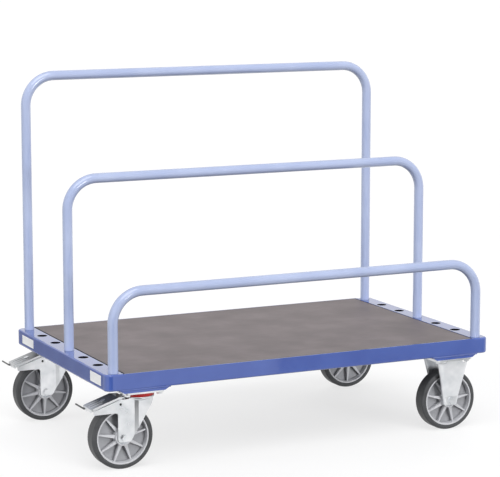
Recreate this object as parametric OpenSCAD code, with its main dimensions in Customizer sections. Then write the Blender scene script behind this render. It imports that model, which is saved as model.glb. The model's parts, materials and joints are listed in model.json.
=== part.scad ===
// Panel cart: a low steel platform on four casters. Loose tube hoops plug into
// rows of sockets at both ends and hold boards upright between them.
// Units are millimetres. X runs along the platform, Y across it and Z up from
// the floor. The origin lies on the floor under the middle of the platform.

/* [Platform] */
// Length over the end rails
platform_length = 1350; // [1000:10:1800]
// Width over the side rails
platform_width = 810; // [700:10:1000]
// Height of the folded rails
rail_height = 52; // [40:1:80]
// Sheet thickness of the frame
frame_sheet = 4; // [3:0.5:5]
// Inner radius of the folded bends
frame_bend = 1.5; // [0.5:0.5:4]
// Outer radius of the platform's corners
corner_radius = 22; // [14:1:30]
// Width of the perforated strip at each end
strip_width = 58; // [56:1:70]
// Width of the side rails' bottom flange
rail_flange = 35; // [20:1:50]
// Thickness of the deck board
deck_thickness = 18; // [12:1:24]
// Open joint between the deck board and a strip
deck_joint = 4; // [1:0.5:6]
// Play of the deck board between the side rails
deck_play = 1; // [0.5:0.5:3]
// Width of the flanges that carry the deck board
bearer_flange = 30; // [20:1:40]
// Distance of the middle bearers from the platform's middle
bearer_offset = 155; // [80:5:240]

/* [Sockets] */
// Number of socket holes at each end
socket_count = 7; // [3:2:9]
// Distance of the outer socket holes from the platform's sides
socket_margin = 30; // [25:1:60]
// Distance of the socket holes from the platform's ends
socket_inset = 35; // [28:1:37]
// Bore of the sockets
socket_bore = 33; // [32.8:0.1:34]
// Wall of the socket sleeves
socket_wall = 3.5; // [2:0.5:4]

/* [Hoops] */
// Outer diameter of the hoop tube
tube_diameter = 32; // [25:0.5:32.2]
// Wall of the hoop tube
tube_wall = 2.5; // [1.5:0.5:4]
// Bend radius at the middle of the tube
bend_radius = 98; // [60:1:140]
// Overall height of the tall hoop
tall_hoop_height = 910; // [700:10:1200]
// Overall height of the middle hoop
middle_hoop_height = 610; // [400:10:900]
// Overall height of the low hoop
low_hoop_height = 310; // [250:10:500]
// Chamfer on the ends of the hoop legs
leg_chamfer = 1; // [0.5:0.1:2]

/* [Wheels] */
// Diameter over the tyre
wheel_diameter = 200; // [160:5:250]
// Width of the tyre
wheel_width = 50; // [46:1:54]
// Thickness of the tyre
tyre_depth = 15; // [8:1:25]
// Rounding of the tyre's shoulders
tyre_shoulder = 7; // [3:0.5:8]
// Depth of the groove around each tyre shoulder
tyre_groove = 1.5; // [0.5:0.5:3]
// Width of the rim inside the tyre
rim_width = 46; // [40:1:46]
// Thickness of the rim ring
rim_depth = 4.5; // [4:0.5:10]
// Thickness of the wheel's web
web_thickness = 7; // [5:0.5:12]
// Number of ribs on each side of the web
rib_count = 9; // [5:1:12]
// Width of a rib at the hub
rib_root = 11; // [5:0.5:14]
// Width of a rib at the rim
rib_tip = 3.5; // [2:0.5:6]
// Diameter of the hub
hub_diameter = 50; // [46:1:60]
// Length of the hub
hub_length = 60; // [54:1:61]
// Outer diameter of a wheel bearing
bearing_diameter = 42; // [36:1:44]
// Width of a wheel bearing
bearing_width = 12; // [8:1:16]

/* [Casters] */
// Distance of the caster plates' middle from the platform's ends
caster_inset = 128; // [120:1:180]
// Distance of the wheels' middle from the platform's sides
caster_margin = 60; // [56:1:120]
// Offset of a swivel wheel behind its swivel axis
trail = 60; // [40:1:75]
// Room between the tyre and the fork's crown
crown_clearance = 22; // [16:1:30]
// Sheet thickness of the forks
fork_sheet = 4; // [3:0.5:6]
// Width over the fork legs
fork_width = 70; // [70:1:80]
// Height of the ball race between the crown and the caster plate
race_height = 11; // [9:0.5:14]
// Length of the caster plate along the platform
plate_length = 135; // [130:1:160]
// Thickness of the caster plate
plate_thickness = 6; // [4:0.5:8]
// Bolt spacing along the platform
bolt_spacing_x = 105; // [104:1:110]
// Distance of the caster bolts from the outer face of the legs
bolt_room = 9; // [9:0.5:14]
// Border of the caster plate beside the bolts
plate_border = 11; // [11:0.5:16]
// Thread diameter of the caster bolts
bolt_diameter = 10; // [8:1:12]
// Height of the folded bridge between a caster plate and the frame
bridge_height = 10; // [10:1:40]
// Width of a bridge where it meets the frame
bridge_top_width = 166; // [150:1:200]
// Width of a bridge where it meets the caster plate
bridge_foot_width = 134; // [130:1:148]
// Border of a bridge beside the bolts
bridge_border = 14; // [13:0.5:16]

/* [Fork] */
// Radius of the fork's crown
crown_radius = 50; // [44:1:52]
// Height of the flare below the crown
crown_flare = 15; // [8:1:20]
// Length of the brake wings behind the swivel axis
wing_reach = 160; // [150:1:180]
// Depth of the brake wings below the top of the crown
wing_depth = 46; // [40:1:54]
// Height of a brake wing at its tip
wing_tip = 12; // [6:1:16]
// Width of the foot of a fork leg, behind the axle
foot_half = 20; // [18:1:28]
// Reach of the foot of a fork leg below the axle
foot_drop = 12; // [10:1:24]
// Rounding of the fork legs
leg_corner = 8; // [4:1:10]
// Length of the pressed step down each fork leg
step_length = 12; // [8:1:16]
// Depth of the pressed step, which widens the fork towards its crown
step_depth = 4; // [2:0.5:6]

/* [Fixed bracket] */
// Width over a bracket's legs at the axle
bracket_width = 80; // [78:1:90]
// Width over a bracket's legs below the caster plate
bracket_spread = 118; // [104:1:120]
// Width of a bracket leg below the caster plate
bracket_top_width = 113; // [90:1:120]
// Width of a bracket leg at its foot
bracket_foot_width = 49; // [44:1:60]
// Length over which a bracket leg joins its plate, between the bolts
bracket_joint = 60; // [50:1:80]

/* [Brake] */
// Width of the pedal
pedal_width = 70; // [64:1:70]
// Sheet thickness of the pedal
pedal_sheet = 3; // [2:0.5:4]
// Length of the pedal behind the swivel axis
pedal_reach = 168; // [164:1:190]
// Rounding of the corners at the pedal's tip
pedal_corner = 6; // [3:0.5:10]
// Height of the pedal's front lip
pedal_lip = 10; // [6:1:14]
// Number of ribs pressed along the pedal
pedal_rib_count = 3; // [2:1:5]
// Diameter of the round stud on the pedal
pedal_stud = 16; // [10:1:20]
// Diameter of the pedal's pivot pin
pivot_diameter = 8; // [6:0.5:10]
// Reach of the release lever beside the pedal
lever_reach = 56; // [30:1:70]

/* [Hidden] */
$fn = 48;
// Straight steps in a rounded corner of an outline
corner_steps = 6;
// Straight steps in a folded bend
bend_steps = 3;
// Extra length of a cut beyond the surface it opens
overrun = 1;
// Radial clearance of a shaft that turns in its hole
running_clearance = 0.05;
// Gap between neighbours that move past each other
moving_gap = 0.4;
// Radial clearance of a bolt in its hole
bolt_clearance = 0.5;

// Heights from the floor up
axle_z = wheel_diameter / 2;
crown_z = wheel_diameter + crown_clearance;
crown_top = crown_z + fork_sheet;
plate_z = crown_top + race_height;
plate_top = plate_z + plate_thickness;
rail_z = plate_top + bridge_height;
deck_z = rail_z + rail_height;
board_z = deck_z - deck_thickness;
socket_floor = rail_z + frame_sheet;

// Places along and across the platform
half_length = platform_length / 2;
half_width = platform_width / 2;
strip_edge = half_length - strip_width;
wall_y = half_width - frame_sheet;
socket_x = half_length - socket_inset;
socket_pitch = (platform_width - 2 * socket_margin) / (socket_count - 1);
last_row = (socket_count - 1) / 2;
caster_x = half_length - caster_inset;
caster_y = half_width - caster_margin;
bridge_top_half = bridge_top_width / 2;
bridge_foot_half = bridge_foot_width / 2;
bearer_width = 2 * bearer_flange;

// Fork, wheel and axle
leg_outer = fork_width / 2;
leg_inner = leg_outer - fork_sheet;
bolt_spacing_y = fork_width + 2 * bolt_room;
plate_width = bolt_spacing_y + 2 * plate_border;
wheel_half = wheel_width / 2;
hub_half = hub_length / 2;
tyre_bore = axle_z - tyre_depth;
rim_bore = tyre_bore - rim_depth;
axle_diameter = 12;
axle_hex = 19;
axle_head = 7.5;
axle_nut_height = 10;
axle_stub = 3;
sleeve_diameter = 20;
kingpin_diameter = 16;
kingpin_head = 26;
kingpin_sink = 5;
kingpin_hex = 24;
kingpin_nut_height = 10;
race_inner = 20;
race_outer = 34;
race_sheet = 2;
ball_count = 16;
ball_diameter = race_height - 2 * race_sheet - moving_gap;
ball_circle = (race_inner + race_outer) / 2;
seal_wall = 6;
plate_corner = 12;
bolt_hex = 17;
bolt_head = 6.4;
bolt_nut_full = 8;
bolt_stub = 0.5;
bolt_nut_height = min(bolt_nut_full, bridge_height - frame_sheet - bolt_stub - bolt_clearance);
bridge_half = bolt_spacing_y / 2 + bridge_border;

// Angles at which the wheels stand at rest
near_swivel_turn = 11;
far_swivel_turn = 30;
near_fixed_turn = 6;
far_fixed_turn = 30;

// Brake wing and pedal, seen from the side
crown_edge = 5.5;
crown_round = 4;
leg_top = crown_top - crown_edge;
foot_front = 22;
shoulder_x = 76;
shoulder_drop = 1;
shoulder_z = leg_top - shoulder_drop;
crown_tail = 49;
pivot_x = 71.4;
pivot_drop = 20;
pivot_z = crown_top - pivot_drop;
pivot_recess = 2.5;
step_x = 26;
wing_round = 2;
// Reach of the legs under the crown, forwards and back, as shares of its radius
crown_front_share = 0.85;
crown_back_share = 0.72;
// Half height of a rib at the rim as a share of the rim's width
rib_tip_share = 0.33;
// Growth of a bracket leg's rolled edges from its foot to the plate, as a share of their radius
roll_growth_share = 0.5;
// Radius of the crown's flare where it runs into the legs, at the middle of their sheet
flare_foot = leg_outer + step_depth - fork_sheet / 2;
wing_foot_z = crown_top - wing_depth;
wing_slope = (shoulder_z - wing_foot_z - wing_tip) / (wing_reach - shoulder_x);
pedal_rise = 2;
pedal_root = 58;
pedal_kink = 79;
pedal_top = crown_top + pedal_rise;
pedal_edge = 7;
skirt_gap = 2;
pedal_neck_half = leg_inner - moving_gap;
ear_sheet = 4;
ear_radius = 6.5;
pedal_rib_width = 3;
pedal_rib_height = 1;
pedal_rib_start = 12;
stud_height = 1.5;
stud_place_share = 0.42;
shoe_width = 30;
shoe_depth = 7;
shoe_gap = 0.6;
shoe_start = 22;
shoe_sweep = 20;
shoe_steps = 8;
lever_depth = 3;
lever_height = 4;
lever_seat = 10;
bracket_drop = 14;
knee_rise = 14;
notch_round = 5;

frame_blue = [0.33, 0.41, 0.67];
hoop_blue = [0.66, 0.71, 0.85];
board_grey = [0.53, 0.50, 0.50];
zinc = [0.86, 0.87, 0.88];
seal_red = [0.66, 0.12, 0.12];
socket_navy = [0.10, 0.13, 0.27];
lever_black = [0.12, 0.12, 0.13];
rim_grey = [0.68, 0.69, 0.71];
tyre_grey = [0.25, 0.26, 0.27];
bearing_steel = [0.75, 0.76, 0.78];

// Outline helpers. A point is [x, y, corner radius].

function unit(v) = v / norm(v);

function corner_arc(a, b, c, r) =
    let (
        u = unit(a - b),
        w = unit(c - b),
        half = acos(u * w) / 2,
        centre = b + unit(u + w) * r / sin(half),
        p = b + u * r / tan(half) - centre,
        q = b + w * r / tan(half) - centre,
        start = atan2(p.y, p.x),
        sweep = (atan2(q.y, q.x) - start + 540) % 360 - 180
    )
    [for (i = [0 : corner_steps])
        centre + r * [cos(start + sweep * i / corner_steps), sin(start + sweep * i / corner_steps)]];

function flat(p) = [p.x, p.y];

function rounded(points) =
    let (n = len(points))
    [for (i = [0 : n - 1])
        let (a = flat(points[(i + n - 1) % n]), b = flat(points[i]), c = flat(points[(i + 1) % n]))
        each (points[i].z == 0 ? [b] : corner_arc(a, b, c, points[i].z))];

// A plate whose outline lies in X and Z, from y_low upwards along Y
module side_plate(points, y_low, thickness)
    translate([0, y_low + thickness, 0])
        rotate([90, 0, 0])
            linear_extrude(thickness) polygon(points);

// A bar whose section lies in Y and Z, along X
module long_bar(points, length)
    translate([-length / 2, 0, 0])
        rotate([90, 0, 90])
            linear_extrude(length) polygon(points);

// A solid through plans at rising heights, each with as many points
module loft(sections) {
    n = len(sections[0][0]);
    top = len(sections) - 1;
    polyhedron(
        points = [for (section = sections, p = section[0]) [p.x, p.y, section[1]]],
        faces = concat(
            [[for (i = [0 : n - 1]) i]],
            [[for (i = [n - 1 : -1 : 0]) top * n + i]],
            [for (k = [0 : top - 1], i = [0 : n - 1])
                [k * n + i, (k + 1) * n + i, (k + 1) * n + (i + 1) % n, k * n + (i + 1) % n]]));
}

// A box by its low and high corners
module span_box(low, high) translate(low) cube(high - low);

module rounded_slab(length, width, thickness, r)
    linear_extrude(thickness)
        polygon(rounded([
            [-length / 2, -width / 2, r], [length / 2, -width / 2, r],
            [length / 2, width / 2, r], [-length / 2, width / 2, r]]));

// A straight round bar along Y from y_low to y_high
module cross_bar(diameter, y_low, y_high)
    translate([0, y_high, 0])
        rotate([90, 0, 0]) cylinder(d = diameter, h = y_high - y_low);

module hexagon(across_flats, height) cylinder(d = across_flats / cos(30), h = height, $fn = 6);

module at_plate_corners()
    for (i = [-1, 1], j = [-1, 1])
        translate([i * bolt_spacing_x / 2, j * bolt_spacing_y / 2, 0]) children();

// Places of the casters

module near_swivel() translate([-caster_x, -caster_y, 0]) children();
module far_swivel() translate([-caster_x, caster_y, 0]) children();
module near_fixed() translate([caster_x, -caster_y, 0]) children();
module far_fixed() translate([caster_x, caster_y, 0]) children();
module both_swivels() for (j = [-1, 1]) translate([-caster_x, j * caster_y, 0]) children();
module both_fixed() for (j = [-1, 1]) translate([caster_x, j * caster_y, 0]) children();
module every_caster() { both_swivels() children(); both_fixed() children(); }
module on_trail() translate([-trail, 0, axle_z]) children();
module on_axle() translate([0, 0, axle_z]) children();

// Frame

module side_rail()
    color(frame_blue)
        long_bar(rounded([
            [-half_width, rail_z, frame_bend + frame_sheet], [-half_width + rail_flange, rail_z, 0],
            [-half_width + rail_flange, rail_z + frame_sheet, 0],
            [-wall_y, rail_z + frame_sheet, frame_bend],
            [-wall_y, deck_z, 0], [-half_width, deck_z, 0]]), 2 * strip_edge);

// Plan of an end rail, drawn in from its outer edges
function end_outline(inset) = rounded([
    [-strip_edge, half_width - inset, 0],
    [-half_length + inset, half_width - inset, corner_radius - inset],
    [-half_length + inset, -half_width + inset, corner_radius - inset],
    [-strip_edge, -half_width + inset, 0]]);

// Sections of a folded tray from z_low up to z_high, with a rounded bend at each edge
function tray_sections(inset, bend, z_low, z_high) = concat(
    [for (i = [0 : bend_steps])
        let (a = 90 * i / bend_steps)
        [end_outline(inset + bend * (1 - sin(a))), z_low + bend * (1 - cos(a))]],
    [for (i = [0 : bend_steps])
        let (a = 90 * i / bend_steps)
        [end_outline(inset + bend * (1 - cos(a))), z_high - bend * (1 - sin(a))]]);

module end_rail()
    color(frame_blue)
        difference() {
            loft(tray_sections(0, frame_bend + frame_sheet, rail_z, deck_z));
            loft(tray_sections(frame_sheet, frame_bend, socket_floor, deck_z - frame_sheet));
            at_sockets() translate([0, 0, deck_z - frame_sheet - overrun])
                cylinder(d = socket_bore, h = frame_sheet + 2 * overrun);
        }

module at_sockets()
    for (row = [-last_row : last_row]) translate([-socket_x, row * socket_pitch, 0]) children();

module end_sockets()
    color(socket_navy)
        at_sockets() translate([0, 0, socket_floor])
            difference() {
                cylinder(d = socket_bore + 2 * socket_wall, h = rail_height - 2 * frame_sheet);
                translate([0, 0, -overrun])
                    cylinder(d = socket_bore, h = rail_height - 2 * frame_sheet + 2 * overrun);
            }

// An angle under the deck board, coped over the side rails' flanges
module bearer_angle(x_wall, side)
    difference() {
        side_plate([
            [x_wall, rail_z], [x_wall + side * frame_sheet, rail_z],
            [x_wall + side * frame_sheet, board_z - frame_sheet],
            [x_wall + side * bearer_flange, board_z - frame_sheet],
            [x_wall + side * bearer_flange, board_z], [x_wall, board_z]], -wall_y, 2 * wall_y);
        for (j = [-1, 1])
            translate([x_wall, j * half_width, socket_floor - rail_height / 2])
                cube([2 * bearer_width, 2 * rail_flange, rail_height], center = true);
    }

module end_bearers()
    color(frame_blue) {
        bearer_angle(-strip_edge, 1);
        bearer_angle(-caster_x + bridge_top_half, -1);
    }

module middle_bearers()
    color(frame_blue)
        for (i = [-1, 1]) translate([i * bearer_offset, 0, 0])
            side_plate([
                [-bearer_flange, socket_floor], [-bearer_flange + frame_sheet, socket_floor],
                [-bearer_flange + frame_sheet, board_z - frame_sheet],
                [bearer_flange - frame_sheet, board_z - frame_sheet],
                [bearer_flange - frame_sheet, socket_floor], [bearer_flange, socket_floor],
                [bearer_flange, board_z], [-bearer_flange, board_z]], -wall_y, 2 * wall_y);

module deck_board()
    color(board_grey)
        span_box(
            [-strip_edge + deck_joint, -wall_y + deck_play, board_z],
            [strip_edge - deck_joint, wall_y - deck_play, deck_z]);

// Folded pan that carries a caster plate below the rails
module bridge()
    color(frame_blue)
        let (
            run = bridge_top_half - bridge_foot_half,
            slant = frame_sheet * norm([run, bridge_height]) / bridge_height,
            floor_half = bridge_foot_half + run * frame_sheet / bridge_height - slant
        )
        difference() {
            side_plate([
                [-bridge_top_half, rail_z], [-bridge_foot_half, plate_top],
                [bridge_foot_half, plate_top], [bridge_top_half, rail_z]],
                -bridge_half, 2 * bridge_half);
            side_plate([
                [bridge_top_half - slant + run / bridge_height * overrun, rail_z + overrun],
                [floor_half, plate_top + frame_sheet],
                [-floor_half, plate_top + frame_sheet],
                [-bridge_top_half + slant - run / bridge_height * overrun, rail_z + overrun]],
                -bridge_half + frame_sheet, 2 * (bridge_half - frame_sheet));
            at_plate_corners() translate([0, 0, plate_top - overrun])
                cylinder(d = bolt_diameter + 2 * bolt_clearance, h = frame_sheet + 2 * overrun);
        }

// Caster plates and their fasteners

module drilled_plate(width)
    difference() {
        translate([0, 0, plate_z]) rounded_slab(plate_length, width, plate_thickness, plate_corner);
        at_plate_corners() translate([0, 0, plate_z - overrun])
            cylinder(d = bolt_diameter + 2 * bolt_clearance, h = plate_thickness + 2 * overrun);
    }

module caster_bolt() {
    color(zinc) {
        translate([0, 0, plate_z - bolt_head]) hexagon(bolt_hex, bolt_head);
        translate([0, 0, plate_z - bolt_head])
            cylinder(
                d = bolt_diameter,
                h = bolt_head + plate_thickness + frame_sheet + bolt_nut_height + bolt_stub);
    }
}

module caster_nut()
    color(zinc)
        translate([0, 0, plate_top + frame_sheet])
            difference() {
                hexagon(bolt_hex, bolt_nut_height);
                translate([0, 0, -overrun])
                    cylinder(d = bolt_diameter + 2 * running_clearance, h = bolt_nut_height + 2 * overrun);
            }

module kingpin()
    color(zinc)
        rotate_extrude()
            polygon([
                [0, crown_z - moving_gap - kingpin_nut_height - axle_stub],
                [kingpin_diameter / 2, crown_z - moving_gap - kingpin_nut_height - axle_stub],
                [kingpin_diameter / 2, plate_top - kingpin_sink],
                [kingpin_head / 2, plate_top], [0, plate_top]]);

module kingpin_nut()
    color(zinc)
        translate([0, 0, crown_z - moving_gap - kingpin_nut_height])
            difference() {
                hexagon(kingpin_hex, kingpin_nut_height);
                translate([0, 0, -overrun])
                    cylinder(
                        d = kingpin_diameter + 2 * running_clearance,
                        h = kingpin_nut_height + 2 * overrun);
            }

module swivel_plate()
    color(zinc)
        difference() {
            union() {
                drilled_plate(plate_width);
                translate([0, 0, plate_z - race_sheet]) cylinder(r = race_outer, h = race_sheet + overrun);
            }
            translate([0, 0, plate_z - race_sheet - overrun])
                cylinder(r = race_inner, h = race_sheet + overrun);
            rotate_extrude()
                polygon([
                    [0, plate_z - overrun], [kingpin_diameter / 2 + running_clearance, plate_z - overrun],
                    [kingpin_diameter / 2 + running_clearance, plate_top - kingpin_sink],
                    [kingpin_head / 2 + running_clearance, plate_top],
                    [kingpin_head / 2 + running_clearance, plate_top + overrun], [0, plate_top + overrun]]);
        }

// Swivel fork

function fork_outline() = rounded([
    [crown_radius * crown_front_share, crown_z + fork_sheet / 2, 0],
    [-crown_radius * crown_back_share, crown_z + fork_sheet / 2, 0],
    [-crown_tail, leg_top, 0],
    [-shoulder_x, shoulder_z, leg_corner],
    [-wing_reach, wing_foot_z + wing_tip, wing_round],
    [-wing_reach + wing_round, wing_foot_z, wing_round],
    [-trail - foot_half, wing_foot_z, leg_corner],
    [-trail - foot_half, axle_z - foot_drop, leg_corner],
    [-trail + foot_front, axle_z - foot_drop, leg_corner]]);

// Reach of a leg's front edge, kept inside the crown, at a distance beside the swivel axis
function crown_reach(y) = sqrt(pow(crown_radius - overrun, 2) - pow(y, 2));

// Plan of a leg: flat beside the wheel, then stepped out below the crown
module leg_plan() {
    step_inner = leg_inner + step_depth;
    step_outer = leg_outer + step_depth;
    polygon([
        [-wing_reach - overrun, leg_inner], [-step_x, leg_inner],
        [-step_x + step_length, step_inner], [crown_reach(step_inner), step_inner],
        [crown_reach(step_outer), step_outer], [-step_x + step_length, step_outer],
        [-step_x, leg_outer], [-wing_reach - overrun, leg_outer]]);
}

module fork_leg()
    intersection() {
        side_plate(fork_outline(), 0, leg_outer + 2 * step_depth);
        linear_extrude(crown_top + overrun) leg_plan();
    }

module fork()
    color(zinc)
        difference() {
            union() {
                fork_leg();
                mirror([0, 1, 0]) fork_leg();
                rotate_extrude()
                    polygon(rounded([
                        [0, crown_z, 0], [crown_radius - 2 * fork_sheet, crown_z, 0],
                        [flare_foot - fork_sheet, crown_top - crown_flare, 0],
                        [flare_foot, crown_top - crown_flare, 0],
                        [crown_radius, leg_top, 0], [crown_radius, crown_top, crown_round],
                        [0, crown_top, 0]]));
            }
            translate([0, 0, crown_z - overrun])
                cylinder(d = kingpin_diameter + 2 * running_clearance, h = fork_sheet + 2 * overrun);
            on_trail() cross_bar(
                axle_diameter + 2 * running_clearance, -leg_outer - overrun, leg_outer + overrun);
            translate([-pivot_x, 0, pivot_z])
                cross_bar(
                    pivot_diameter + 2 * running_clearance, -leg_outer - overrun, leg_outer + overrun);
        }

module ball_race()
    color(bearing_steel) {
        translate([0, 0, crown_top])
            difference() {
                cylinder(r = race_outer, h = race_sheet);
                translate([0, 0, -overrun]) cylinder(r = race_inner, h = race_sheet + 2 * overrun);
            }
        for (i = [0 : ball_count - 1])
            rotate([0, 0, 360 * i / ball_count])
                translate([ball_circle, 0, crown_top + race_sheet + ball_diameter / 2])
                    sphere(d = ball_diameter);
    }

module seal_ring()
    color(seal_red)
        rotate_extrude()
            polygon([
                [crown_radius - seal_wall, crown_top], [crown_radius, crown_top],
                [crown_radius, crown_top + race_height / 2],
                [crown_radius - race_sheet, plate_z - moving_gap],
                [crown_radius - seal_wall, plate_z - moving_gap]]);

module pivot_pin()
    color(lever_black)
        translate([-pivot_x, 0, pivot_z])
            cross_bar(pivot_diameter, -leg_outer + pivot_recess, leg_outer - pivot_recess);

// Axle, by the distance of the legs' outer or inner faces from the wheel's middle

module axle_bolt(outer)
    color(zinc) {
        translate([0, -outer, 0]) rotate([90, 0, 0]) hexagon(axle_hex, axle_head);
        cross_bar(axle_diameter, -outer - axle_head, outer + axle_nut_height + axle_stub);
    }

module axle_nut(outer)
    color(zinc)
        translate([0, outer + axle_nut_height, 0]) rotate([90, 0, 0])
            difference() {
                hexagon(axle_hex, axle_nut_height);
                translate([0, 0, -overrun])
                    cylinder(d = axle_diameter + 2 * running_clearance, h = axle_nut_height + 2 * overrun);
            }

module axle_sleeve(inner)
    color(bearing_steel)
        difference() {
            cross_bar(sleeve_diameter, -inner, inner);
            cross_bar(axle_diameter + 2 * running_clearance, -inner - overrun, inner + overrun);
        }

// Wheel, turned about Y at the axle

module spun() rotate([90, 0, 0]) rotate_extrude() children();

module tyre()
    color(tyre_grey)
        spun()
            polygon(rounded([
                [tyre_bore, -wheel_half + tyre_groove, 0],
                [tyre_bore + tyre_groove, -wheel_half, 0],
                [axle_z - tyre_shoulder - tyre_groove, -wheel_half, 0],
                [axle_z - tyre_shoulder, -wheel_half + tyre_groove, 0],
                [axle_z, -wheel_half + tyre_groove, tyre_shoulder],
                [axle_z, wheel_half - tyre_groove, tyre_shoulder],
                [axle_z - tyre_shoulder, wheel_half - tyre_groove, 0],
                [axle_z - tyre_shoulder - tyre_groove, wheel_half, 0],
                [tyre_bore + tyre_groove, wheel_half, 0],
                [tyre_bore, wheel_half - tyre_groove, 0]]));

// One side of the rim's section, mirrored for the other side
function rim_side() = [
    [bearing_diameter / 2, hub_half], [hub_diameter / 2, hub_half],
    [hub_diameter / 2 + rib_tip, web_thickness / 2],
    [rim_bore - rib_tip, web_thickness / 2], [rim_bore, rim_width / 2],
    [tyre_bore, rim_width / 2]];

module rim(turn)
    color(rim_grey)
        difference() {
            union() {
                spun()
                    polygon(concat(
                        rim_side(),
                        [for (i = [len(rim_side()) - 1 : -1 : 0]) [rim_side()[i].x, -rim_side()[i].y]]));
                intersection() {
                    rotate([90, 0, 0]) translate([0, 0, -hub_half])
                        for (i = [0 : rib_count - 1])
                            rotate([0, 0, turn + 360 * i / rib_count])
                                linear_extrude(hub_length)
                                    polygon([
                                        [hub_diameter / 2 - rib_tip, -rib_root / 2],
                                        [rim_bore + rib_tip / 2, -rib_tip / 2],
                                        [rim_bore + rib_tip / 2, rib_tip / 2],
                                        [hub_diameter / 2 - rib_tip, rib_root / 2]]);
                    spun()
                        polygon([
                            [hub_diameter / 2 - rib_tip, -rim_width / 2],
                            [rim_bore + rib_tip / 2, -rim_width * rib_tip_share],
                            [rim_bore + rib_tip / 2, rim_width * rib_tip_share],
                            [hub_diameter / 2 - rib_tip, rim_width / 2]]);
                }
                cross_bar(hub_diameter - rib_tip, -hub_half + bearing_width, hub_half - bearing_width);
            }
            cross_bar(bearing_diameter - rib_tip, -hub_half, hub_half);
        }

module bearings()
    color(bearing_steel)
        for (y = [-hub_half, hub_half - bearing_width])
            difference() {
                cross_bar(bearing_diameter, y, y + bearing_width);
                cross_bar(
                    sleeve_diameter + 2 * running_clearance, y - overrun, y + bearing_width + overrun);
            }

// Brake

// Height of the tread's top surface at a distance behind the swivel axis
tread_drop = pedal_top - (wing_foot_z + wing_tip + pedal_edge);
tread_slope = tread_drop / (pedal_reach - pedal_kink);
function tread_z(x) = pedal_top - tread_slope * (x - pedal_kink);
// Height of the wings' top edge at a distance behind the swivel axis
function wing_z(x) = shoulder_z - wing_slope * (x - shoulder_x);

module brake_pedal() {
    lip_x = pedal_reach - pedal_sheet;
    half = pedal_width / 2;
    color(zinc)
        difference() {
            union() {
                intersection() {
                    side_plate([
                        [-pedal_kink, pedal_top], [-pedal_kink, wing_z(pedal_kink) + skirt_gap],
                        [-lip_x, wing_z(lip_x) + skirt_gap], [-lip_x, tread_z(lip_x) - pedal_lip],
                        [-pedal_reach - overrun, tread_z(pedal_reach + overrun) - pedal_lip],
                        [-pedal_reach - overrun, tread_z(pedal_reach + overrun)]],
                        -pedal_width, 2 * pedal_width);
                    linear_extrude(pedal_top + overrun)
                        polygon(rounded([
                            [-pedal_reach, -half, pedal_corner], [overrun - pedal_kink, -half, 0],
                            [overrun - pedal_kink, half, 0], [-pedal_reach, half, pedal_corner]]));
                }
                side_plate([
                    [-pedal_root, pedal_top], [-pedal_root, pedal_top - pedal_sheet],
                    [-pedal_kink - pedal_sheet, pedal_top - pedal_sheet],
                    [-pedal_kink - pedal_sheet, tread_z(pedal_kink + pedal_sheet) - pedal_sheet / 2],
                    [-pedal_kink, pedal_top]],
                    -pedal_neck_half, 2 * pedal_neck_half);
                for (j = [-1, 1]) pedal_ear(j);
                pedal_pressings();
            }
            side_plate([
                [-pedal_kink + overrun, pedal_top - pedal_sheet],
                [-pedal_kink, pedal_top - pedal_sheet],
                [-lip_x, tread_z(lip_x) - pedal_sheet],
                [-lip_x, wing_foot_z], [-pedal_kink + overrun, wing_foot_z]],
                -half + pedal_sheet, pedal_width - 2 * pedal_sheet);
        }
}

// Ear that hangs the pedal on its pivot pin
module pedal_ear(side)
    difference() {
        side_plate(rounded([
            [-pivot_x + ear_radius, pedal_top - pedal_sheet, 0],
            [-pivot_x + ear_radius, pivot_z - ear_radius, ear_radius],
            [-pivot_x - ear_radius, pivot_z - ear_radius, ear_radius],
            [-pivot_x - ear_radius, pedal_top - pedal_sheet, 0]]),
            side > 0 ? pedal_neck_half - ear_sheet : -pedal_neck_half, ear_sheet);
        translate([-pivot_x, 0, pivot_z])
            cross_bar(pivot_diameter + 2 * running_clearance, -half_width, half_width);
    }

// Ribs and round stud pressed up from the tread
module pedal_pressings()
    translate([-pedal_kink, 0, pedal_top])
        rotate([0, -atan(tread_slope), 0]) {
            tread = norm([pedal_reach - pedal_kink, tread_drop]);
            for (i = [1 : pedal_rib_count])
                translate([-tread + pedal_rib_start / 2, pedal_width * (i / (pedal_rib_count + 1) - 0.5), 0])
                    translate([0, -pedal_rib_width / 2, -pedal_sheet / 2])
                        cube([
                            tread * stud_place_share, pedal_rib_width, pedal_sheet / 2 + pedal_rib_height]);
            translate([-tread * stud_place_share, 0, -pedal_sheet / 2])
                cylinder(d = pedal_stud, h = pedal_sheet / 2 + stud_height);
        }

module brake_shoe()
    color(bearing_steel)
        let (
            low = axle_z + shoe_gap,
            arc = [for (i = [0 : shoe_steps])
                let (a = shoe_start + shoe_sweep * i / shoe_steps)
                [-trail - low * sin(a), axle_z + low * cos(a)]],
            front = -arc[0].x,
            rear = -arc[shoe_steps].x
        )
        side_plate(concat(arc, [
            [-rear, arc[shoe_steps].y + shoe_depth],
            [-rear, tread_z(rear) - pedal_sheet], [-front, tread_z(front) - pedal_sheet]]),
            -shoe_width / 2, shoe_width);

// Toe bar beside the pedal's tip that lifts the brake off
module release_lever()
    color(lever_black)
        let (z_low = tread_z(pedal_reach) - pedal_lip)
        span_box(
            [-pedal_reach - lever_depth, pedal_width / 2 - pedal_corner - lever_seat, z_low],
            [-pedal_reach, pedal_width / 2 + lever_reach, z_low + lever_height]);

// Fixed bracket

bracket_outer = bracket_width / 2;
bracket_inner = bracket_outer - fork_sheet;
bracket_foot = axle_z - bracket_drop;
// Height at which a leg leaves its upright foot and splays out towards the plate's edge
bracket_knee = axle_z + knee_rise;
bracket_splay = bracket_spread / 2 - bracket_outer;
// Outer radius of the rolled edges at the foot, which leaves the hub free
bracket_roll = bracket_outer - max(wheel_half, hub_half) - 3 * bolt_clearance;

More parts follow.
